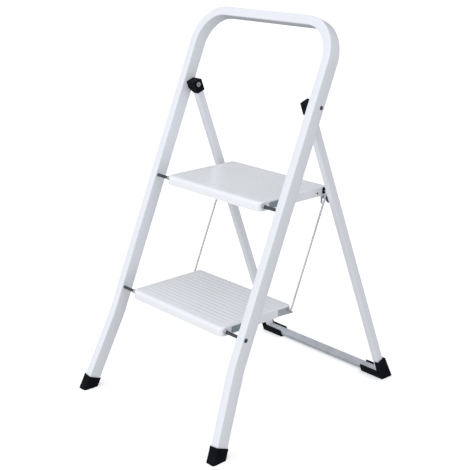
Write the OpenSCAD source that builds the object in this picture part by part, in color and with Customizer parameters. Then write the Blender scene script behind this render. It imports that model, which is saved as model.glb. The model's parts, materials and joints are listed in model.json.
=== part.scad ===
// Two-step folding stool with a hoop handrail.
// Front is -Y, up is +Z, the floor is Z = 0 and X = 0 is the plane of symmetry.

/* [Overall] */
// Height of the top of the handrail above the floor
rail_height = 850; // [820:5:880]
// Clear width between the front legs above the flare
clear_width = 395; // [394:1:402]
// Lean of the front legs away from upright, in degrees
front_lean = 23.3; // [22.5:0.1:24]
// Slope of the rear legs away from upright, in degrees
rear_lean = 20; // [19.5:0.1:20.5]

/* [Front frame] */
// Width of the front tube, seen from the front
tube_w = 20; // [18:0.5:22]
// Depth of the front tube, seen from the side
tube_d = 30; // [28:0.5:32]
// Wall thickness of the tubes
tube_wall = 1.2; // [1:0.1:1.4]
// Corner radius of the front tube section
tube_corner = 2; // [1.8:0.1:3]
// Outer radius of the two bends of the handrail
rail_radius = 88; // [70:1:100]
// Distance along the leg from the floor to the flare bend
flare_height = 194; // [180:1:200]
// How far each leg spreads outward below the flare bend
flare_out = 22; // [20:1:30]
// Height of the front feet along the leg
foot_height = 35; // [32:1:40]
// Wall thickness of the rubber front feet
foot_wall = 2.4; // [1.5:0.1:2.6]

/* [Rear frame] */
// Distance along the front leg from the floor to the upper pivot
pivot_along = 746; // [740:1:750]
// Distance of the upper pivot behind the front face of the leg
pivot_depth = 21; // [20:0.5:21.5]
// Width of the rear tube, seen from the front
rear_w = 14.8; // [14:0.1:15.2]
// Depth of the rear tube
rear_d = 18.8; // [18:0.1:19.5]
// Distance of the middle of the rear tube behind the upper pivot
rear_set = 0.8; // [0.5:0.1:1]
// Corner radius of the rear tube section
rear_corner = 1.5; // [1.5:0.1:2]
// Half width over the rear legs at the pivot
rear_top_half = 186.2; // [185:0.1:187]
// Half width over the rear legs at the floor
rear_foot_half = 199.8; // [199:0.1:200.5]
// Height of the bar that joins the rear legs
bar_h = 12.3; // [11:0.1:14]
// Depth of the bar that joins the rear legs
bar_d = 19; // [18:0.5:20]

/* [Treads] */
// Distance along the leg from the floor to the lower axle
lower_along = 256.4; // [254:0.2:258]
// Distance along the leg from the floor to the upper axle
upper_along = 524.2; // [523:0.2:526]
// Distance of both axles behind the front face of the leg
axle_depth = 7.6; // [7:0.1:8]
// Radius of the axles
axle_r = 3.5; // [3:0.1:3.6]
// Width of a tread
tread_w = 306; // [300:1:306]
// Reach of a tread in front of its axle
tread_front = 11; // [10:0.5:12]
// Reach of a tread behind its axle
tread_back = 188; // [186:1:190]
// Height of the tread surface above its axle
tread_rise = 9.2; // [9:0.1:10]
// Depth of the folded edges of a tread
tread_edge = 20; // [19:0.5:21]
// Sheet thickness of a tread
sheet = 1.2; // [1:0.1:1.5]
// Distance between the grip ribs
rib_pitch = 12.5; // [12:0.1:13]
// Height of the grip ribs
rib_rise = 0.3; // [0.3:0.1:1]
// Width of the grip ribs
rib_w = 6; // [4:0.5:8]
// Number of grip ribs on a tread
rib_count = 14; // [10:1:14]

/* [Linkage] */
// Distance of the rod ends behind the axles
rod_reach = 177.5; // [177:0.1:178]
// Radius of the link rods
rod_r = 2; // [1.8:0.1:2.1]
// Distance of the link rods from the middle plane
rod_x = 163.5; // [163:0.1:164]

/* [Hidden] */
$fn = 48;
fit = 0.05;
eps = 0.01;
leg_in = clear_width / 2;
leg_mid = leg_in + tube_w / 2;
leg_out = leg_in + tube_w;
rail_len = rail_height / cos(front_lean);
rail_mid_r = rail_radius - tube_w / 2;
flare_turn = atan(flare_out / flare_height);
flare_r = 200;
flare_top = flare_height + flare_r * tan(flare_turn / 2);
flare_x = leg_mid + flare_r * (1 - cos(flare_turn));
flare_s = flare_top - flare_r * sin(flare_turn);
leg_start = 16;
lower_len = (flare_s - leg_start) / cos(flare_turn);
lap = 0.03;
pivot_y = pivot_along * sin(front_lean) + pivot_depth * cos(front_lean);
pivot_z = pivot_along * cos(front_lean) - pivot_depth * sin(front_lean);
pivot_r = 3;
rear_front = rear_set - rear_d / 2;
rear_len = (pivot_z + rear_front * sin(rear_lean) - 3) / cos(rear_lean);
floor_len = pivot_z / cos(rear_lean);
rear_tilt = atan((rear_foot_half - rear_top_half) / floor_len);
rear_mid = rear_top_half - rear_w / 2;
cap_in = rear_top_half - rear_w - 2;
cap_out = leg_in - 0.6;
cap_up = 9;
cap_down = 19;
cap_d = 22.4;
heel_y = pivot_y + pivot_z * tan(rear_lean);
heel_back = heel_y + 19 / cos(rear_lean);
shoe_in = rear_foot_half - 62;
shoe_out = rear_foot_half + 4.2;
mid_y = (heel_back - foot_wall / cos(front_lean)) / 2;
half_w = tread_w / 2;
back_corner = 8;
front_corner = 13;
nose_r = 8;
rod_bend = 6;
rod_in = 146;
rod_len = upper_along - lower_along;
stud_y = rod_reach + 1.6;
stud_z = -14.2;
stud_r = 3;
stud_end = 169.5;
hook_in = 166.2;
plate_out = half_w - sheet;
plate_t = 2;
bracket_rivet_at = [159, -3];
white_coat = [0.93, 0.94, 0.95];
black_plastic = [0.06, 0.06, 0.065];
zinc = [0.72, 0.73, 0.72];
dark_steel = [0.2, 0.2, 0.21];
galvanized = [0.6, 0.61, 0.63];
blued_steel = [0.42, 0.47, 0.51];

function along_y(s, t) = s * sin(front_lean) + t * cos(front_lean) - mid_y;
function along_z(s, t) = s * cos(front_lean) - t * sin(front_lean);

// ---- frames of reference ----

// Leaning frame of the front legs: X across, Y into the tube, Z up along the leg.
module front() {
  translate([0, -mid_y, 0]) rotate([-front_lean, 0, 0]) children();
}

// Frame of the rear legs, with its origin at the upper pivot.
module rear() {
  translate([0, pivot_y - mid_y, pivot_z]) rotate([rear_lean, 0, 0]) children();
}

// Frame of one right rear leg, which spreads slightly toward the floor.
module rear_side() {
  rear() translate([rear_mid, rear_set, 0]) rotate([0, -rear_tilt, 0]) children();
}

// Upright frame at an axle.
module at_axle(s) {
  translate([0, along_y(s, axle_depth), along_z(s, axle_depth)]) children();
}

module on_side(side) {
  if (side > 0) children();
  if (side < 0) mirror([1, 0, 0]) children();
}

// ---- shared shapes ----

module round_rect(w, h, r) {
  square([w - 2 * r, h], center = true);
  square([w, h - 2 * r], center = true);
  for (x = [-1, 1])
    for (y = [-1, 1])
      translate([x * (w / 2 - r), y * (h / 2 - r)]) circle(r);
}

module round_tube(w, h, r, t) {
  difference() {
    round_rect(w, h, r);
    round_rect(w - 2 * t, h - 2 * t, r - t);
  }
}

// Cylinder along X from x0 to x1.
module bar_x(x0, x1, r) {
  translate([x0, 0, 0]) rotate([0, 90, 0]) cylinder(h = x1 - x0, r = r);
}

// Extrusion along X of a side view drawn in Y and Z.
module side_shape(x0, x1) {
  translate([x0, 0, 0]) rotate([90, 0, 90]) linear_extrude(height = x1 - x0) children();
}

// Shallow domed rivet head that grows toward +X from the origin.
module dome_head(r, h) {
  ball = (r * r + h * h) / (2 * h);
  rotate([0, 90, 0]) rotate_extrude()
    intersection() {
      translate([0, h - ball]) circle(ball, $fn = 96);
      square([r, h]);
    }
}

// ---- front frame ----

// Frame of the straight flared part of the right leg; +Z runs down to the foot.
module flared() {
  translate([flare_x, tube_d / 2, flare_s]) rotate([0, 180 - flare_turn, 0]) children();
}

module frame_half() {
  flared() translate([0, 0, -1.5]) linear_extrude(height = lower_len + 1.5)
    round_tube(tube_w + 2 * lap, tube_d + 2 * lap, tube_corner + lap, tube_wall + 2 * lap);
  translate([leg_mid + flare_r, tube_d / 2, flare_top]) rotate([90, 0, 0]) rotate([0, 0, 180])
    rotate_extrude(angle = flare_turn, $fn = 96)
      translate([flare_r, 0]) round_tube(tube_w, tube_d, tube_corner, tube_wall);
  translate([leg_mid, tube_d / 2, flare_top])
    linear_extrude(height = rail_len - rail_radius - flare_top)
      round_tube(tube_w, tube_d, tube_corner, tube_wall);
  translate([leg_mid - rail_mid_r, tube_d / 2, rail_len - rail_radius]) rotate([90, 0, 0])
    rotate_extrude(angle = 90, $fn = 96)
      translate([rail_mid_r, 0]) round_tube(tube_w, tube_d, tube_corner, tube_wall);
  translate([0, tube_d / 2, rail_len - tube_w / 2]) rotate([90, 0, 90])
    linear_extrude(height = leg_mid - rail_mid_r)
      round_tube(tube_d, tube_w, tube_corner, tube_wall);
}

module front_frame() {
  color(white_coat) front() difference() {
    union() {
      frame_half();
      mirror([1, 0, 0]) frame_half();
    }
    for (side = [-1, 1])
      on_side(side) {
        translate([0, pivot_depth, pivot_along]) bar_x(leg_in - 1, leg_out + 1, pivot_r + fit);
        translate([0, axle_depth, lower_along]) bar_x(leg_in - 1, leg_out + 1, axle_r + fit);
        translate([0, axle_depth, upper_along]) bar_x(leg_in - 1, leg_mid, axle_r + fit);
      }
  }
}

module front_foot(side) {
  wide = tube_w + 2 * foot_wall;
  deep = tube_d + 2 * foot_wall;
  color(black_plastic) on_side(side) difference() {
    front() flared() difference() {
      translate([0, 0, lower_len + leg_start - foot_height])
        linear_extrude(height = foot_height + 20) round_rect(wide, deep, tube_corner + foot_wall);
      for (i = [0 : 4])
        translate([0, 0, lower_len + leg_start - foot_height + 5 + 4.2 * i])
          linear_extrude(height = 1.6) difference() {
            square([wide + 4, deep + 4], center = true);
            round_rect(wide - 1.4, deep - 1.4, tube_corner + foot_wall - 0.7);
          }
      linear_extrude(height = lower_len)
        round_rect(tube_w + 2 * fit, tube_d + 2 * fit, tube_corner + fit);
    }
    translate([150, -mid_y - 60, -60]) cube([160, 160, 60]);
  }
}

module front_foot_left() { front_foot(-1); }

module front_foot_right() { front_foot(1); }

module pivot_rivet(side) {
  color(zinc) on_side(side) front() translate([0, pivot_depth, pivot_along]) difference() {
    union() {
      bar_x(cap_in - 1.6, leg_out, pivot_r);
      bar_x(cap_in - 1.6, cap_in - 0.1, 5.5);
      translate([leg_out, 0, 0]) dome_head(4.6, 1.8);
    }
    bar_x(cap_in - 2, cap_in + 5, 2.1);
  }
}

module pivot_rivet_left() { pivot_rivet(-1); }

module pivot_rivet_right() { pivot_rivet(1); }

module lower_axle() {
  color(dark_steel) front() translate([0, axle_depth, lower_along]) {
    bar_x(-leg_out, leg_out, axle_r);
    for (side = [-1, 1]) on_side(side) translate([leg_out, 0, 0]) dome_head(5, 2);
  }
}

// The upper axle ends inside the tubes, so its ends do not show on the outside of the legs.
module upper_axle() {
  color(dark_steel) front() translate([0, axle_depth, upper_along])
    bar_x(-leg_mid, leg_mid, axle_r);
}

module collar(side, s) {
  color(zinc) on_side(side) front() translate([0, axle_depth, s]) difference() {
    bar_x(half_w + 0.4, half_w + 7, 4.8);
    bar_x(half_w, half_w + 8, axle_r + fit);
  }
}

module lower_collar_left() { collar(-1, lower_along); }

module lower_collar_right() { collar(1, lower_along); }

module upper_collar_left() { collar(-1, upper_along); }

module upper_collar_right() { collar(1, upper_along); }

// ---- rear frame ----

// Solid outline of a rear leg, grown sideways by grow and downward by extra.
module rear_leg_outline(grow, extra) {
  translate([0, 0, -rear_len - extra]) linear_extrude(height = rear_len + extra + cap_up - 3)
    round_rect(rear_w + 2 * grow, rear_d + 2 * grow, rear_corner + grow);
}

module rear_leg(side) {
  color(white_coat) on_side(side) difference() {
    rear_side() translate([0, 0, -rear_len]) linear_extrude(height = rear_len + cap_up - 3)
      round_tube(rear_w, rear_d, rear_corner, tube_wall);
    rear() bar_x(rear_mid - rear_w, rear_mid + rear_w, pivot_r + fit);
  }
}

module rear_leg_left() { rear_leg(-1); }

module rear_leg_right() { rear_leg(1); }

module rear_bar() {
  color(galvanized) difference() {
    rear() translate([-rear_foot_half, bar_d / 2 + rear_front, bar_h / 2 - rear_len])
      rotate([90, 0, 90]) linear_extrude(height = 2 * rear_foot_half)
        round_tube(bar_d, bar_h, 2.5, tube_wall);
    for (side = [-1, 1])
      on_side(side) rear_side() translate([-rear_w / 2, -30, -rear_len - 30]) cube([60, 80, 80]);
  }
}

module pivot_cap(side) {
  color(black_plastic) on_side(side) difference() {
    rear() intersection() {
      translate([cap_in, rear_set + 0.5, (cap_up - cap_down) / 2]) rotate([90, 0, 90])
        linear_extrude(height = cap_out - cap_in) round_rect(cap_d, cap_up + cap_down, 1.8);
      translate([0, 30, 0]) rotate([90, 0, 0]) linear_extrude(height = 60)
        polygon([
          [cap_in - 1, cap_up + 1], [cap_out + 1, cap_up + 1], [cap_out + 1, -7],
          [cap_out - 1.2, -8.4], [180, -cap_down - 1], [cap_in - 1, -cap_down - 1]
        ]);
    }
    rear_side() rear_leg_outline(fit, 0);
    rear() bar_x(cap_in - 1, cap_out + 1, pivot_r + fit);
  }
}

module pivot_cap_left() { pivot_cap(-1); }

module pivot_cap_right() { pivot_cap(1); }

// Corner shoe: an open trough for the bar and a high cheek outside the leg.
module rear_shoe(side) {
  foot = -rear_len;
  y0 = rear_front - 3.5;
  y1 = y0 + bar_d + 5.8;
  color(black_plastic) on_side(side) difference() {
    rear() difference() {
      union() {
        side_shape(shoe_in, shoe_out)
          polygon([[y0, foot - 20], [y1 + 4, foot - 20], [y1, foot + bar_h + 2.5], [y0, foot + bar_h + 4.5]]);
        side_shape(rear_foot_half - 9, shoe_out)
          polygon([[y0, foot - 20], [19, foot - 20], [19, foot - 7], [13.5, foot + 45], [y0 + 1, foot + 45]]);
      }
      side_shape(shoe_in - 1, rear_foot_half)
        translate([y0 + 3.5 - fit, foot - fit]) square([bar_d + 2 * fit, bar_h + 30]);
    }
    rear_side() rear_leg_outline(fit, 0);
    translate([0, -mid_y, -60]) cube([300, 900, 60]);
  }
}

module rear_shoe_left() { rear_shoe(-1); }

module rear_shoe_right() { rear_shoe(1); }

// Open hook on the inner face of a rear leg; the stud of the upper tread rests in it.
module rest_hook(side) {
  color(dark_steel) on_side(side) difference() {
    at_axle(upper_along) side_shape(hook_in, rear_top_half - 4) difference() {
      polygon([
        [stud_y - 7.5, stud_z + 5], [stud_y - 7.5, stud_z - 5], [stud_y - 2, stud_z - 10],
        [stud_y + 3, stud_z - 9], [stud_y + 7.5, stud_z - 3], [stud_y + 5, stud_z + 1],
        [stud_y - 3.8, stud_z + 5]
      ]);
      translate([stud_y, stud_z]) circle(stud_r + 0.3);
      translate([stud_y, stud_z]) rotate(-35) translate([-stud_r - 0.3, 0])
        square([2 * stud_r + 6, 20]);
    }
    rear_side() rear_leg_outline(0, 0);
  }
}

module rest_hook_left() { rest_hook(-1); }

module rest_hook_right() { rest_hook(1); }

// ---- treads ----

// Side view of a tread seen along X, shrunk by inset on every face.
module tread_profile(inset) {
  r = nose_r - inset;
  y0 = inset - tread_front;
  y1 = tread_back - inset;
  top = tread_rise - inset;
  low = tread_rise - tread_edge - (inset > 0 ? 1 : 0);
  translate([y0 + r, top - r]) circle(r);
  translate([y0, low]) square([y1 - y0, top - r - low]);
  translate([y0 + r, low]) square([y1 - y0 - r - 3, top - low]);
  translate([y0 + r, low]) square([y1 - y0 - r, top - 3 - low]);
  translate([y1 - 3, top - 3]) circle(3);
}

module tread_front_view(inset) {
  w = half_w - inset;
  top = tread_rise - inset;
  low = tread_rise - tread_edge - 1;
  translate([-w, low]) square([2 * w, top - 2.5 - low]);
  translate([2.5 - w, low]) square([2 * w - 5, top - low]);
  for (x = [-1, 1]) translate([x * (w - 2.5), top - 2.5]) circle(2.5);
}

// Plan of a tread, with larger corners in front than behind.
module tread_plan(inset) {
  w = half_w - inset;
  y0 = inset - tread_front;
  y1 = tread_back - inset;
  front = front_corner - inset;
  back = back_corner - inset;
  translate([-w, y0 + front]) square([2 * w, y1 - back - y0 - front]);
  translate([front - w, y0]) square([2 * (w - front), y1 - back - y0]);
  translate([back - w, y0 + front]) square([2 * (w - back), y1 - y0 - front]);
  for (x = [-1, 1]) {
    translate([x * (w - front), y0 + front]) circle(front);
    translate([x * (w - back), y1 - back]) circle(back);
  }
}

module tread_block(inset) {
  deep = tread_back + tread_front;
  intersection() {
    side_shape(-half_w, half_w) tread_profile(inset);
    translate([0, 0, tread_rise - tread_edge - 2]) linear_extrude(height = tread_edge + 4)
      tread_plan(inset);
    translate([0, tread_back + 5, 0]) rotate([90, 0, 0])
      linear_extrude(height = deep + 10) tread_front_view(inset);
  }
}

module tread_ribs() {
  ball = (rib_w * rib_w / 4 + rib_rise * rib_rise) / (2 * rib_rise);
  for (i = [0 : rib_count - 1])
    side_shape(-half_w + 14, half_w - 14)
      intersection() {
        translate([12 + i * rib_pitch, tread_rise + rib_rise - ball]) circle(ball, $fn = 96);
        translate([12 + i * rib_pitch - rib_w / 2, tread_rise - 0.4]) square([rib_w, rib_rise + 1]);
      }
}

module tread(s, cut_rear) {
  color(white_coat) at_axle(s) difference() {
    union() {
      difference() {
        tread_block(0);
        tread_block(sheet);
      }
      tread_ribs();
    }
    bar_x(-half_w - 1, half_w + 1, axle_r + fit);
    if (cut_rear)
      for (x = [-half_w - 1, half_w - 12])
        translate([x, 150, -20]) cube([13, 50, 25.5]);
    if (!cut_rear) {
      translate([0, rod_reach, 0]) bar_x(-half_w - 1, half_w + 1, rod_r + fit);
      at_bracket_rivet() bar_x(-half_w - 1, half_w + 1, 1.5 + fit);
    }
  }
}

module upper_tread() { tread(upper_along, false); }

module lower_tread() { tread(lower_along, true); }

// Stiffening plate on the outer face of a tread, just behind the axle.
module side_plate(side, s) {
  color(blued_steel) on_side(side) at_axle(s) {
    side_shape(half_w, half_w + 1.2) translate([39, -1.5]) round_rect(42, 13, 3);
    for (y = [25, 53]) translate([half_w + 1.2, y, -1.5]) dome_head(2.4, 0.9);
  }
}

module upper_plate_left() { side_plate(-1, upper_along); }

module upper_plate_right() { side_plate(1, upper_along); }

module lower_plate_left() { side_plate(-1, lower_along); }

module lower_plate_right() { side_plate(1, lower_along); }

// Forked bracket inside the rear corner of the upper tread, with the stud that rests in the hook.
module upper_bracket(side) {
  color(galvanized) on_side(side) at_axle(upper_along) {
    difference() {
      side_shape(plate_out - plate_t, plate_out) difference() {
        union() {
          translate([148, -10]) square([32, 15]);
          polygon([
            [172, -8], [172, -27], [174, -29], [176, -27], [176, -18.5], [182, -18.5],
            [182, -27], [185, -24], [186.5, -11], [180, -11], [180, -8]
          ]);
        }
        translate([rod_reach, 0]) circle(rod_r + fit);
        translate([rod_reach, -rod_r - fit]) square([5, 2 * (rod_r + fit)]);
      }
      at_bracket_rivet() bar_x(plate_out - 3, plate_out + 1, 1.5 + fit);
    }
    translate([0, stud_y, stud_z]) bar_x(plate_out, stud_end, stud_r);
  }
}

module upper_bracket_left() { upper_bracket(-1); }

module upper_bracket_right() { upper_bracket(1); }

module at_bracket_rivet() {
  translate([0, bracket_rivet_at[0], bracket_rivet_at[1]]) children();
}

module bracket_rivet() {
  bar_x(plate_out - plate_t - 0.2, half_w, 1.5);
  translate([half_w, 0, 0]) dome_head(2.6, 1);
  mirror([1, 0, 0]) translate([0.2 + plate_t - plate_out, 0, 0]) dome_head(2.6, 1);
}

module upper_bracket_rivets() {
  color(dark_steel) at_axle(upper_along)
    for (side = [-1, 1]) on_side(side) at_bracket_rivet() bracket_rivet();
}

module rod_clip(side) {
  color(black_plastic) on_side(side) at_axle(upper_along)
    side_shape(half_w + 0.05, half_w + 2.4) translate([rod_reach, 0.5]) difference() {
      round_rect(8, 14.5, 3.9);
      translate([0, -0.5]) circle(rod_r + fit);
    }
}

module rod_clip_left() { rod_clip(-1); }

module rod_clip_right() { rod_clip(1); }

// Bracket inside the cut-away rear corner of the lower tread; the rod hooks into its hole.
module lower_bracket(side) {
  color(galvanized) on_side(side) at_axle(lower_along) {
    side_shape(plate_out - plate_t, plate_out) difference() {
      polygon([
        [124, 5], [184, 5], [186, 3], [186, -4], [195, -9], [195, -12], [188, -11.5], [150, -9.5],
        [124, -9.5]
      ]);
      translate([rod_reach, 0]) circle(rod_r + fit);
    }
    side_shape(plate_out - eps, half_w)
      polygon([[151, -9.5], [188, -11.5], [195, -12], [195, -9.8], [188, -9.3], [151, -7.3]]);
  }
}

module lower_bracket_left() { lower_bracket(-1); }

module lower_bracket_right() { lower_bracket(1); }

// ---- linkage ----

module rod_corner() {
  rotate([90, 0, 0]) rotate_extrude(angle = 90) translate([rod_bend, 0]) circle(rod_r);
}

module link_rod(side) {
  color(zinc) on_side(side)
    translate([0, along_y(lower_along, axle_depth) + rod_reach, along_z(lower_along, axle_depth)])
      rotate([-front_lean, 0, 0]) {
        bar_x(rod_in, rod_x - rod_bend, rod_r);
        translate([0, 0, rod_len]) bar_x(rod_in, rod_x - rod_bend, rod_r);
        translate([rod_x, 0, rod_bend]) cylinder(h = rod_len - 2 * rod_bend, r = rod_r);
        translate([rod_x - rod_bend, 0, rod_len - rod_bend]) rod_corner();
        translate([rod_x - rod_bend, 0, rod_bend]) mirror([0, 0, 1]) rod_corner();
      }
}

module link_rod_left() { link_rod(-1); }

module link_rod_right() { link_rod(1); }

// ---- drawing ----

front_frame();
front_foot_left();
front_foot_right();
pivot_rivet_left();
pivot_rivet_right();
lower_axle();
upper_axle();
lower_collar_left();
lower_collar_right();
upper_collar_left();
upper_collar_right();
rear_leg_left();
rear_leg_right();
rear_bar();
pivot_cap_left();
pivot_cap_right();
rear_shoe_left();
rear_shoe_right();
rest_hook_left();
rest_hook_right();
upper_tread();
upper_plate_left();
upper_plate_right();
upper_bracket_left();
upper_bracket_right();
upper_bracket_rivets();
rod_clip_left();
rod_clip_right();
lower_tread();
lower_plate_left();
lower_plate_right();
lower_bracket_left();
lower_bracket_right();
link_rod_left();
link_rod_right();
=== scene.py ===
import json
import math

import bmesh
import bpy
from mathutils import Matrix, Vector


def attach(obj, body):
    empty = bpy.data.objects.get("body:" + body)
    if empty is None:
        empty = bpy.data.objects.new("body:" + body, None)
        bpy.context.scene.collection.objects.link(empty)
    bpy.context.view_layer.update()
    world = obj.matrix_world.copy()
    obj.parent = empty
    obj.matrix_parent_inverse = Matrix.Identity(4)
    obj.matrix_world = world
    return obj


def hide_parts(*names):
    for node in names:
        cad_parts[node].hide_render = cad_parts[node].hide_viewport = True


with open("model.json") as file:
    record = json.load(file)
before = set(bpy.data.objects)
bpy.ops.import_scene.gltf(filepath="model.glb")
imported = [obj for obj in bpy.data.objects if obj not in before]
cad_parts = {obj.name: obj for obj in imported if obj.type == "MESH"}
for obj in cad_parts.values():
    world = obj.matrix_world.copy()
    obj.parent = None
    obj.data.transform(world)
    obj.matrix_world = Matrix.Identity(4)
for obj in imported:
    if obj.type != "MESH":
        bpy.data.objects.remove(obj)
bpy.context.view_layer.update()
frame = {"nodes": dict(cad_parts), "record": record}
MM = 0.001

# ---- sizes of the frame, in mm, as in the CAD source ----
RAIL_HEIGHT = 850.0
TUBE_W, TUBE_D, TUBE_R, WALL = 20.0, 30.0, 2.0, 1.2
LEG_IN = 197.5
LEG_MID = LEG_IN + TUBE_W / 2
LEG_OUT = LEG_IN + TUBE_W
RAIL_RADIUS = 88.0
FLARE_HEIGHT, FLARE_OUT, FLARE_R = 194.0, 22.0, 200.0
LEG_START = 16.0
LOWER_S, AXLE_T = 256.4, 7.6
HALF_W, T_FRONT, T_BACK, T_TOP, T_EDGE = 153.0, 11.0, 188.0, 9.2, 20.0
SHEET, NOSE_R, SIDE_R, BACK_R, FRONT_CORNER, BACK_CORNER = 1.2, 8.0, 2.5, 3.0, 13.0, 8.0
FIRST_RIB, RIB_PITCH, RIB_W, RIB_RISE, RIBS = 12.0, 12.5, 6.0, 0.3, 14
RIB_INSET, RIB_END = 14.0, 3.0
ROD_REACH, ROD_R, ROD_X, ROD_BEND, ROD_IN = 177.5, 2.0, 163.5, 6.0, 146.0
AXLE_R, TURN_FIT = 3.5, 0.05
BRACKET_X, BRACKET_HALF, BRACKET_FRONT, BRACKET_TOP = 147.5, 6.5, 150.0, 5.5

# ---- places taken from the joints of the record ----
joint = {j["name"]: j for j in frame["record"]["behaviour"]["joints"]}
LOWER = Vector(joint["lower_step_fold"]["pos_m"])
UPPER = Vector(joint["upper_step_fold"]["pos_m"])
LEAN = math.atan2(UPPER.y - LOWER.y, UPPER.z - LOWER.z)
ALONG = Vector((0, math.sin(LEAN), math.cos(LEAN)))
INWARD = Vector((0, math.cos(LEAN), -math.sin(LEAN)))
FRONT = (Matrix.Translation(LOWER - MM * (LOWER_S * ALONG + AXLE_T * INWARD))
         @ Matrix.Rotation(-LEAN, 4, "X") @ Matrix.Scale(MM, 4))
RAIL_LEN = RAIL_HEIGHT / math.cos(LEAN)
MIRROR = Matrix.Scale(-1, 4, (1, 0, 0))


def at_axle(p):
    return Matrix.Translation(p) @ Matrix.Scale(MM, 4)


# ---- materials ----

def material(name, base, rough, metal=0.0, grain=900.0, bump=0.05, mottle=0.03, patch=7.0,
             coat=0.0, specular=0.5):
    """Principled surface with mottled colour, uneven roughness and a fine grain."""
    m = bpy.data.materials.new(name)
    m.use_nodes = True
    nt = m.node_tree
    nodes, links = nt.nodes, nt.links
    shader = nodes["Principled BSDF"]
    shader.inputs["Metallic"].default_value = metal
    shader.inputs["Coat Weight"].default_value = coat
    shader.inputs["Coat Roughness"].default_value = 0.2
    shader.inputs["Specular IOR Level"].default_value = specular
    place = nodes.new("ShaderNodeTexCoord")

    def noise(size, detail):
        n = nodes.new("ShaderNodeTexNoise")
        n.inputs["Scale"].default_value = size
        n.inputs["Detail"].default_value = detail
        links.new(place.outputs["Object"], n.inputs["Vector"])
        return n.outputs["Fac"]

    tint = nodes.new("ShaderNodeValToRGB")
    tint.color_ramp.elements[0].position = 0.3
    tint.color_ramp.elements[1].position = 0.7
    tint.color_ramp.elements[0].color = [c * (1 - mottle) for c in base] + [1]
    tint.color_ramp.elements[1].color = [min(1, c * (1 + mottle)) for c in base] + [1]
    links.new(noise(patch, 4), tint.inputs["Fac"])
    links.new(tint.outputs["Color"], shader.inputs["Base Color"])
    spread = nodes.new("ShaderNodeMapRange")
    spread.inputs["To Min"].default_value = rough[0]
    spread.inputs["To Max"].default_value = rough[1]
    links.new(noise(patch * 9, 5), spread.inputs["Value"])
    links.new(spread.outputs["Result"], shader.inputs["Roughness"])
    relief = nodes.new("ShaderNodeBump")
    relief.inputs["Strength"].default_value = bump
    relief.inputs["Distance"].default_value = 0.0004
    links.new(noise(grain, 3), relief.inputs["Height"])
    links.new(relief.outputs["Normal"], shader.inputs["Normal"])
    return m


WHITE = material("white_coat", (0.86, 0.87, 0.915), (0.28, 0.42),
                 grain=1100, bump=0.12, mottle=0.012, coat=0.3)
# treads: the white coat's own colour, plus painted light; the step up over the frame's white stands for
# light on the treads, most of all the lower tread under the upper one
TREAD_WITH_PAINTED_LIGHT = material("tread_coat", (0.925, 0.93, 0.955), (0.28, 0.42),
                 grain=1100, bump=0.1, mottle=0.015, coat=0.4)
BLACK = material("black_plastic", (0.0045, 0.0055, 0.0075), (0.5, 0.68),
                 grain=2200, bump=0.25, mottle=0.25, patch=40, specular=0.07)
DARK = material("dark_steel", (0.09, 0.1, 0.11), (0.35, 0.55),
                metal=0.85, grain=1600, bump=0.15, mottle=0.2, patch=60)
GALVANIZED = material("galvanized", (0.58, 0.60, 0.64), (0.4, 0.6),
                      metal=0.6, grain=1300, bump=0.1, mottle=0.1, patch=35)
BLUED = material("blued_steel", (0.36, 0.43, 0.48), (0.4, 0.6),
                 metal=0.7, grain=1300, bump=0.1, mottle=0.12, patch=40)
ZINC = material("zinc", (0.56, 0.57, 0.56), (0.25, 0.42),
                metal=1.0, grain=1400, bump=0.08, mottle=0.08, patch=50)
PAINT = {"white_coat": WHITE, "tread_coat": TREAD_WITH_PAINTED_LIGHT, "black_plastic": BLACK, "dark_steel": DARK,
         "galvanized": GALVANIZED, "blued_steel": BLUED, "zinc": ZINC}
SLOT = {p["node"]: p["material_slot"] for p in frame["record"]["subparts"]}
BODY = {n: b for b, group in frame["record"]["behaviour"]["bodies"].items() for n in group}

# ---- mesh tools ----


def settle(mesh, sharp):
    """Smooth shading, with edges above the given angle in degrees kept sharp."""
    for p in mesh.polygons:
        p.use_smooth = True
    mesh.set_sharp_from_angle(angle=math.radians(sharp))


def piece(name, mesh, nodes, sharp=35, weighted=False):
    """Makes one visible piece that stands for the CAD nodes of the same body."""
    obj = bpy.data.objects.new(name, mesh)
    bpy.context.scene.collection.objects.link(obj)
    settle(mesh, sharp)
    if weighted:
        obj.modifiers.new("normals", "WEIGHTED_NORMAL").keep_sharp = True
    mesh.materials.clear()
    mesh.materials.append(PAINT[SLOT[nodes[0]]])
    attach(obj, BODY[nodes[0]])
    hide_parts(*nodes)
    return obj


def to_mesh(name, bm, matrix=None):
    if matrix is not None:
        bmesh.ops.transform(bm, matrix=matrix, verts=bm.verts)
        if matrix.to_3x3().determinant() < 0:
            bmesh.ops.reverse_faces(bm, faces=bm.faces)
    mesh = bpy.data.meshes.new(name)
    bm.to_mesh(mesh)
    bm.free()
    return mesh


def rounded_rect(w, h, r, n=6):
    """Points of a rounded rectangle, counter-clockwise."""
    pts = []
    for k, (sx, sy) in enumerate(((1, 1), (-1, 1), (-1, -1), (1, -1))):
        for i in range(n + 1):
            a = math.radians(90 * k + 90 * i / n)
            pts.append((sx * (w / 2 - r) + r * math.cos(a), sy * (h / 2 - r) + r * math.sin(a)))
    return pts


def circle(r, n=24):
    return [(r * math.cos(2 * math.pi * i / n), r * math.sin(2 * math.pi * i / n)) for i in range(n)]


def loft(bm, rings, cap=True):
    """Joins rings of points with quads; each ring is a list of Vectors."""
    made = [[bm.verts.new(p) for p in ring] for ring in rings]
    n = len(made[0])
    for a, b in zip(made, made[1:]):
        for i in range(n):
            bm.faces.new((a[i], a[(i + 1) % n], b[(i + 1) % n], b[i]))
    if cap:
        bm.faces.new(list(reversed(made[0])))
        bm.faces.new(made[-1])
    return made


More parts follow.
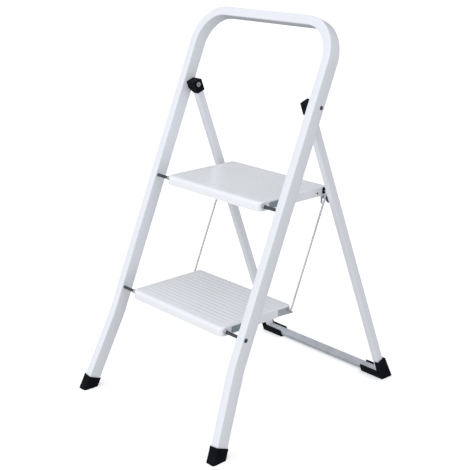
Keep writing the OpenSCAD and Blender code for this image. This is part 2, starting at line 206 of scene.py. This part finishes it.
def tube(bm, stations, outer, inner):
    """Hollow tube: the two sections are swept along the stations and joined at both ends."""
    out = loft(bm, [[m @ Vector((u, v, 0)) for u, v in outer] for m in stations], cap=False)
    ins = loft(bm, [[m @ Vector((u, v, 0)) for u, v in reversed(inner)] for m in stations], cap=False)
    n = len(outer)
    for o, i, flip in ((out[0], ins[0], True), (out[-1], ins[-1], False)):
        i = list(reversed(i))
        for k in range(n):
            quad = [o[k], o[(k + 1) % n], i[(k + 1) % n], i[k]]
            bm.faces.new(list(reversed(quad)) if flip else quad)


def station(x, y, z, tilt):
    """Cross-section plane of a tube that runs in the X-Z plane, turned tilt degrees toward -X."""
    a = math.radians(tilt)
    across = Vector((math.cos(a), 0, math.sin(a)))
    return Matrix(((across.x, 0, -math.sin(a), x), (0, 1, 0, y),
                   (across.z, 0, math.cos(a), z), (0, 0, 0, 1)))


# ---- front frame ----

def front_frame():
    """One bent tube, swept from the foot of the right leg over the rail to the foot of the left leg."""
    turn = math.atan(FLARE_OUT / FLARE_HEIGHT)
    top = FLARE_HEIGHT + FLARE_R * math.tan(turn / 2)
    low_x = LEG_MID + FLARE_R * (1 - math.cos(turn))
    low_s = top - FLARE_R * math.sin(turn)
    reach = (low_s - LEG_START) / math.cos(turn)
    path = [(low_x + reach * math.sin(turn), low_s - reach * math.cos(turn), turn)]
    flare_steps, rail_steps = 8, 36
    for i in range(flare_steps + 1):
        a = turn * (1 - i / flare_steps)
        path.append((LEG_MID + FLARE_R * (1 - math.cos(a)), top - FLARE_R * math.sin(a), a))
    mid_r = RAIL_RADIUS - TUBE_W / 2
    for i in range(rail_steps + 1):
        a = math.pi / 2 * i / rail_steps
        path.append((LEG_MID - mid_r + mid_r * math.cos(a), RAIL_LEN - RAIL_RADIUS + mid_r * math.sin(a), a))
    path += [(-x, z, math.pi - a) for x, z, a in reversed(path)]
    stations = [FRONT @ station(x, TUBE_D / 2, z, math.degrees(a)) for x, z, a in path]
    bm = bmesh.new()
    tube(bm, stations, rounded_rect(TUBE_W, TUBE_D, TUBE_R),
         rounded_rect(TUBE_W - 2 * WALL, TUBE_D - 2 * WALL, TUBE_R - WALL))
    return piece("front_tube", to_mesh("front_tube", bm), ["front_frame"])


def rounded_copy(node, width, segments=3):
    """The CAD shape with its edges softened by width, in mm, as a moulded or pressed part has."""
    bm = bmesh.new()
    bm.from_mesh(frame["nodes"][node].data)
    bmesh.ops.remove_doubles(bm, verts=bm.verts, dist=2e-6)
    bmesh.ops.dissolve_limit(bm, angle_limit=math.radians(1), verts=bm.verts, edges=bm.edges)
    obj = bpy.data.objects.new("draft", to_mesh("draft", bm))
    bpy.context.scene.collection.objects.link(obj)
    soft = obj.modifiers.new("soft", "BEVEL")
    soft.width = width * MM
    soft.segments = segments
    soft.limit_method = "ANGLE"
    soft.angle_limit = math.radians(30)
    return piece(node + "_part", applied(obj, node), [node], sharp=50, weighted=True)


def applied(obj, name):
    """The object's mesh with its modifiers applied; the object itself is removed."""
    dg = bpy.context.evaluated_depsgraph_get()
    mesh = bpy.data.meshes.new_from_object(obj.evaluated_get(dg))
    mesh.name = name
    bpy.data.objects.remove(obj)
    return mesh


# ---- treads ----

def tread_ring(theta, low=None):
    """One ring around a tread: theta 0 is the edge of the flat top, 90 the upright flange."""
    inset, drop = 1 - math.sin(theta), 1 - math.cos(theta)
    ring = []
    for sx, y0, edge, corner in ((1, T_BACK, BACK_R, BACK_CORNER), (-1, T_BACK, BACK_R, BACK_CORNER),
                                 (-1, -T_FRONT, NOSE_R, FRONT_CORNER), (1, -T_FRONT, NOSE_R, FRONT_CORNER)):
        sy = 1 if y0 > 0 else -1
        cx, cy = sx * (HALF_W - corner), y0 - sy * corner
        arc = []
        for i in range(9):
            a = math.pi / 2 * i / 8
            rx = corner - SIDE_R * inset
            ry = corner - edge * inset
            z = T_TOP - drop * (SIDE_R * math.cos(a) ** 2 + edge * math.sin(a) ** 2)
            if low is not None:
                z = low
            arc.append(Vector((cx + sx * rx * math.cos(a), cy + sy * ry * math.sin(a), z)))
        ring += arc if sx * sy > 0 else list(reversed(arc))
    return ring


def tread_mesh(name, matrix, cuts):
    """Ribbed sheet with folded edges; each cut is a box given by its low and high corners."""
    bm = bmesh.new()
    rings = [tread_ring(math.radians(90) * i / 8) for i in range(9)]
    rings.append(tread_ring(math.radians(90), T_TOP - T_EDGE))
    made = loft(bm, [list(reversed(r)) for r in reversed(rings)], cap=False)
    edge = made[-1]
    half = HALF_W - RIB_INSET
    xs = [half + 2, half, half - 0.3, half - 0.9, half - 1.8, half - RIB_END]
    xs = [-x for x in xs] + list(reversed(xs))
    ys = [FIRST_RIB - 5]
    for i in range(RIBS):
        ys += [FIRST_RIB + i * RIB_PITCH + RIB_W / 2 * k / 4 for k in range(-4, 5)]
    ys.append(ys[-1] + 2)

    def height(x, y):
        d = (y - FIRST_RIB + RIB_PITCH / 2) % RIB_PITCH - RIB_PITCH / 2
        rise = max(0, 1 - (2 * d / RIB_W) ** 2)
        end = min(max((abs(x) - (half - RIB_END)) / RIB_END, 0), 1)
        return T_TOP + RIB_RISE * rise * math.sqrt(1 - end * end)

    grid = [[bm.verts.new((x, y, height(x, y))) for x in xs] for y in ys]
    for a, b in zip(grid, grid[1:]):
        for i in range(len(xs) - 1):
            bm.faces.new((a[i], a[i + 1], b[i + 1], b[i]))
    rim = grid[0] + [r[-1] for r in grid[1:-1]]
    rim += list(reversed(grid[-1])) + [r[0] for r in reversed(grid[1:-1])]
    border = []
    for loop in (rim, edge):
        for i, v in enumerate(loop):
            w = loop[(i + 1) % len(loop)]
            border.append(bm.edges.get((v, w)) or bm.edges.new((v, w)))
    bmesh.ops.triangle_fill(bm, use_beauty=True, edges=border, normal=(0, 0, 1))
    bmesh.ops.recalc_face_normals(bm, faces=bm.faces)
    obj = bpy.data.objects.new("draft", to_mesh("draft", bm))
    bpy.context.scene.collection.objects.link(obj)
    shell = obj.modifiers.new("shell", "SOLIDIFY")
    shell.thickness = SHEET
    shell.offset = -1
    shell.use_even_offset = True
    cutter = bmesh.new()
    for lo, hi in cuts:
        size = [b - a for a, b in zip(lo, hi)]
        middle = [(a + b) / 2 for a, b in zip(lo, hi)]
        box = Matrix.Translation(middle) @ Matrix.Diagonal(size + [1])
        bmesh.ops.create_cube(cutter, size=1, matrix=box)
    holes = [(0, AXLE_R + TURN_FIT)]
    if not cuts:
        holes.append((ROD_REACH, ROD_R + TURN_FIT))
    for y, r in holes:
        across = Matrix.Translation((0, y, 0)) @ Matrix.Rotation(math.pi / 2, 4, "Y")
        bmesh.ops.create_cone(cutter, cap_ends=True, segments=32, radius1=r, radius2=r,
                              depth=2 * HALF_W + 8, matrix=across)
    tool = bpy.data.objects.new("tool", to_mesh("tool", cutter))
    bpy.context.scene.collection.objects.link(tool)
    cut = obj.modifiers.new("cut", "BOOLEAN")
    cut.object = tool
    cut.operation = "DIFFERENCE"
    cut.solver = "EXACT"
    mesh = applied(obj, name)
    bpy.data.objects.remove(tool)
    mesh.transform(matrix)
    return mesh


# ---- rods ----

def link_rod(side):
    """Wire between the treads; both ends are bent inward."""
    path = []
    length = (UPPER - LOWER).length / MM
    bend_steps = 12
    for i in range(bend_steps + 1):
        a = math.pi / 2 * i / bend_steps
        path.append((ROD_X - ROD_BEND + ROD_BEND * math.sin(a),
                     ROD_BEND - ROD_BEND * math.cos(a), -math.pi / 2 + a))
    path = [(ROD_IN, 0, -math.pi / 2)] + path
    path += [(x, length - z, -a) for x, z, a in reversed(path)]
    base = (Matrix.Translation(LOWER + Vector((0, ROD_REACH * MM, 0)))
            @ Matrix.Rotation(-LEAN, 4, "X") @ Matrix.Scale(MM, 4))
    bm = bmesh.new()
    loft(bm, [[base @ station(x, 0, z, math.degrees(a)) @ Vector((u, v, 0)) for u, v in circle(ROD_R)]
              for x, z, a in path])
    name = "link_rod_right" if side > 0 else "link_rod_left"
    return piece(name + "_wire", to_mesh(name, bm, MIRROR if side < 0 else None), [name])


# ---- pieces; a bevel is the width in mm and the number of segments ----
CRISP, STAMPED, CLIP_BEVEL, MOULDED = (0.3, 2), (0.4, 2), (0.7, 3), (0.9, 3)

front_frame()
for node in ("rear_leg_left", "rear_leg_right", "rear_bar", "front_foot_left", "front_foot_right"):
    rounded_copy(node, *CRISP)
for node in ("pivot_cap_left", "pivot_cap_right", "rear_shoe_left", "rear_shoe_right"):
    rounded_copy(node, *MOULDED)
for side in ("left", "right"):
    rivet = rounded_copy("pivot_rivet_" + side, *CRISP)
    rivet.data.materials.append(DARK)
    for p in rivet.data.polygons:
        p.material_index = int(abs(p.center.x) > (LEG_OUT - 0.5) * MM)
    for part in ("lower_collar_", "upper_collar_", "rest_hook_", "upper_bracket_", "lower_bracket_"):
        rounded_copy(part + side, *STAMPED)
    for part in ("upper_plate_", "lower_plate_"):
        rounded_copy(part + side, *CRISP)
    rounded_copy("rod_clip_" + side, *CLIP_BEVEL)
for node in ("lower_axle", "upper_axle", "upper_bracket_rivets"):
    rounded_copy(node, *CRISP)

tread = tread_mesh("upper_tread", at_axle(UPPER), [])
piece("upper_tread_sheet", tread, ["upper_tread"])
rear_cuts = [((sx * BRACKET_X - BRACKET_HALF, BRACKET_FRONT, -20),
              (sx * BRACKET_X + BRACKET_HALF, 200, BRACKET_TOP)) for sx in (-1, 1)]
tread = tread_mesh("lower_tread", at_axle(LOWER), rear_cuts)
piece("lower_tread_sheet", tread, ["lower_tread"])
for side in (-1, 1):
    link_rod(side)

# ---- floor, light and camera ----

FLOOR_HALF = 40
FLOOR_TONE, FLOOR_GLOW = 0.93, 0.4
SKY_SIDE = (0.394, -0.723, 0.568)
SKY_DARK, SKY_BRIGHT = 0.12, 1.15
KEY_PLACE, KEY_AIM, KEY_SIZE, KEY_POWER = (-0.6, -3.4, 2.6), (0, 0, 0.45), 2.4, 22
CAMERA_PLACE = (1.6721, -1.4791, 1.0838)
CAMERA_YAW, CAMERA_PITCH, CAMERA_ROLL = 48.96, -17.82, -0.56
CAMERA_LENS, CAMERA_SHIFT = 80.82, (0.0047, -0.0015)

bm = bmesh.new()
bmesh.ops.create_grid(bm, x_segments=1, y_segments=1, size=FLOOR_HALF)
floor = bpy.data.objects.new("floor", to_mesh("floor", bm))
bpy.context.scene.collection.objects.link(floor)
ground = bpy.data.materials.new("pale_floor")
ground.use_nodes = True
shader = ground.node_tree.nodes["Principled BSDF"]
shader.inputs["Base Color"].default_value = (FLOOR_TONE, FLOOR_TONE, FLOOR_TONE, 1)
shader.inputs["Roughness"].default_value = 0.9
shader.inputs["Specular IOR Level"].default_value = 0.0
shader.inputs["Emission Color"].default_value = (1, 1, 1, 1)
shader.inputs["Emission Strength"].default_value = FLOOR_GLOW
floor.data.materials.append(ground)
floor.visible_diffuse = False
floor.visible_glossy = False

world = bpy.data.worlds.new("studio")
bpy.context.scene.world = world
world.use_nodes = True
wn, wl = world.node_tree.nodes, world.node_tree.links
sky = wn["Background"]
sky.inputs["Color"].default_value = (0.95, 0.97, 1.0, 1)
way = wn.new("ShaderNodeTexCoord")
dot = wn.new("ShaderNodeVectorMath")
dot.operation = "DOT_PRODUCT"
dot.inputs[1].default_value = SKY_SIDE
span = wn.new("ShaderNodeMapRange")
span.inputs["From Min"].default_value = -1
span.inputs["To Min"].default_value = SKY_DARK
span.inputs["To Max"].default_value = SKY_BRIGHT
wl.new(way.outputs["Generated"], dot.inputs[0])
wl.new(dot.outputs["Value"], span.inputs["Value"])
wl.new(span.outputs["Result"], sky.inputs["Strength"])
# the camera sees plain white behind the object; the gradient only lights it
backdrop = wn.new("ShaderNodeBackground")
backdrop.inputs["Color"].default_value = (1, 1, 1, 1)
rays = wn.new("ShaderNodeLightPath")
blend = wn.new("ShaderNodeMixShader")
wl.new(rays.outputs["Is Camera Ray"], blend.inputs["Fac"])
wl.new(sky.outputs["Background"], blend.inputs[1])
wl.new(backdrop.outputs["Background"], blend.inputs[2])
wl.new(blend.outputs["Shader"], wn["World Output"].inputs["Surface"])

light = bpy.data.lights.new("key", "AREA")
light.shape = "SQUARE"
light.size = KEY_SIZE
light.energy = KEY_POWER
key = bpy.data.objects.new("key", light)
key.location = KEY_PLACE
key.rotation_euler = (Vector(KEY_AIM) - Vector(KEY_PLACE)).to_track_quat("-Z", "Y").to_euler()
bpy.context.scene.collection.objects.link(key)

cam_data = bpy.data.cameras.new("camera")
cam = bpy.data.objects.new("camera", cam_data)
bpy.context.scene.collection.objects.link(cam)
cam_data.lens = CAMERA_LENS
cam_data.sensor_width = 36
cam_data.shift_x, cam_data.shift_y = CAMERA_SHIFT
cam_data.clip_end = 200
yaw, pitch, roll = (math.radians(v) for v in (CAMERA_YAW, CAMERA_PITCH, CAMERA_ROLL))
back = Vector((math.sin(yaw) * math.cos(pitch), -math.cos(yaw) * math.cos(pitch), -math.sin(pitch)))
right = Vector((math.cos(yaw), math.sin(yaw), 0))
up = back.cross(right)
right, up = (math.cos(roll) * right + math.sin(roll) * up, math.cos(roll) * up - math.sin(roll) * right)
turn = Matrix((right, up, back)).transposed()
cam.matrix_world = Matrix.Translation(CAMERA_PLACE) @ turn.to_4x4()
bpy.context.scene.camera = cam
bpy.context.scene.view_settings.view_transform = "Standard"
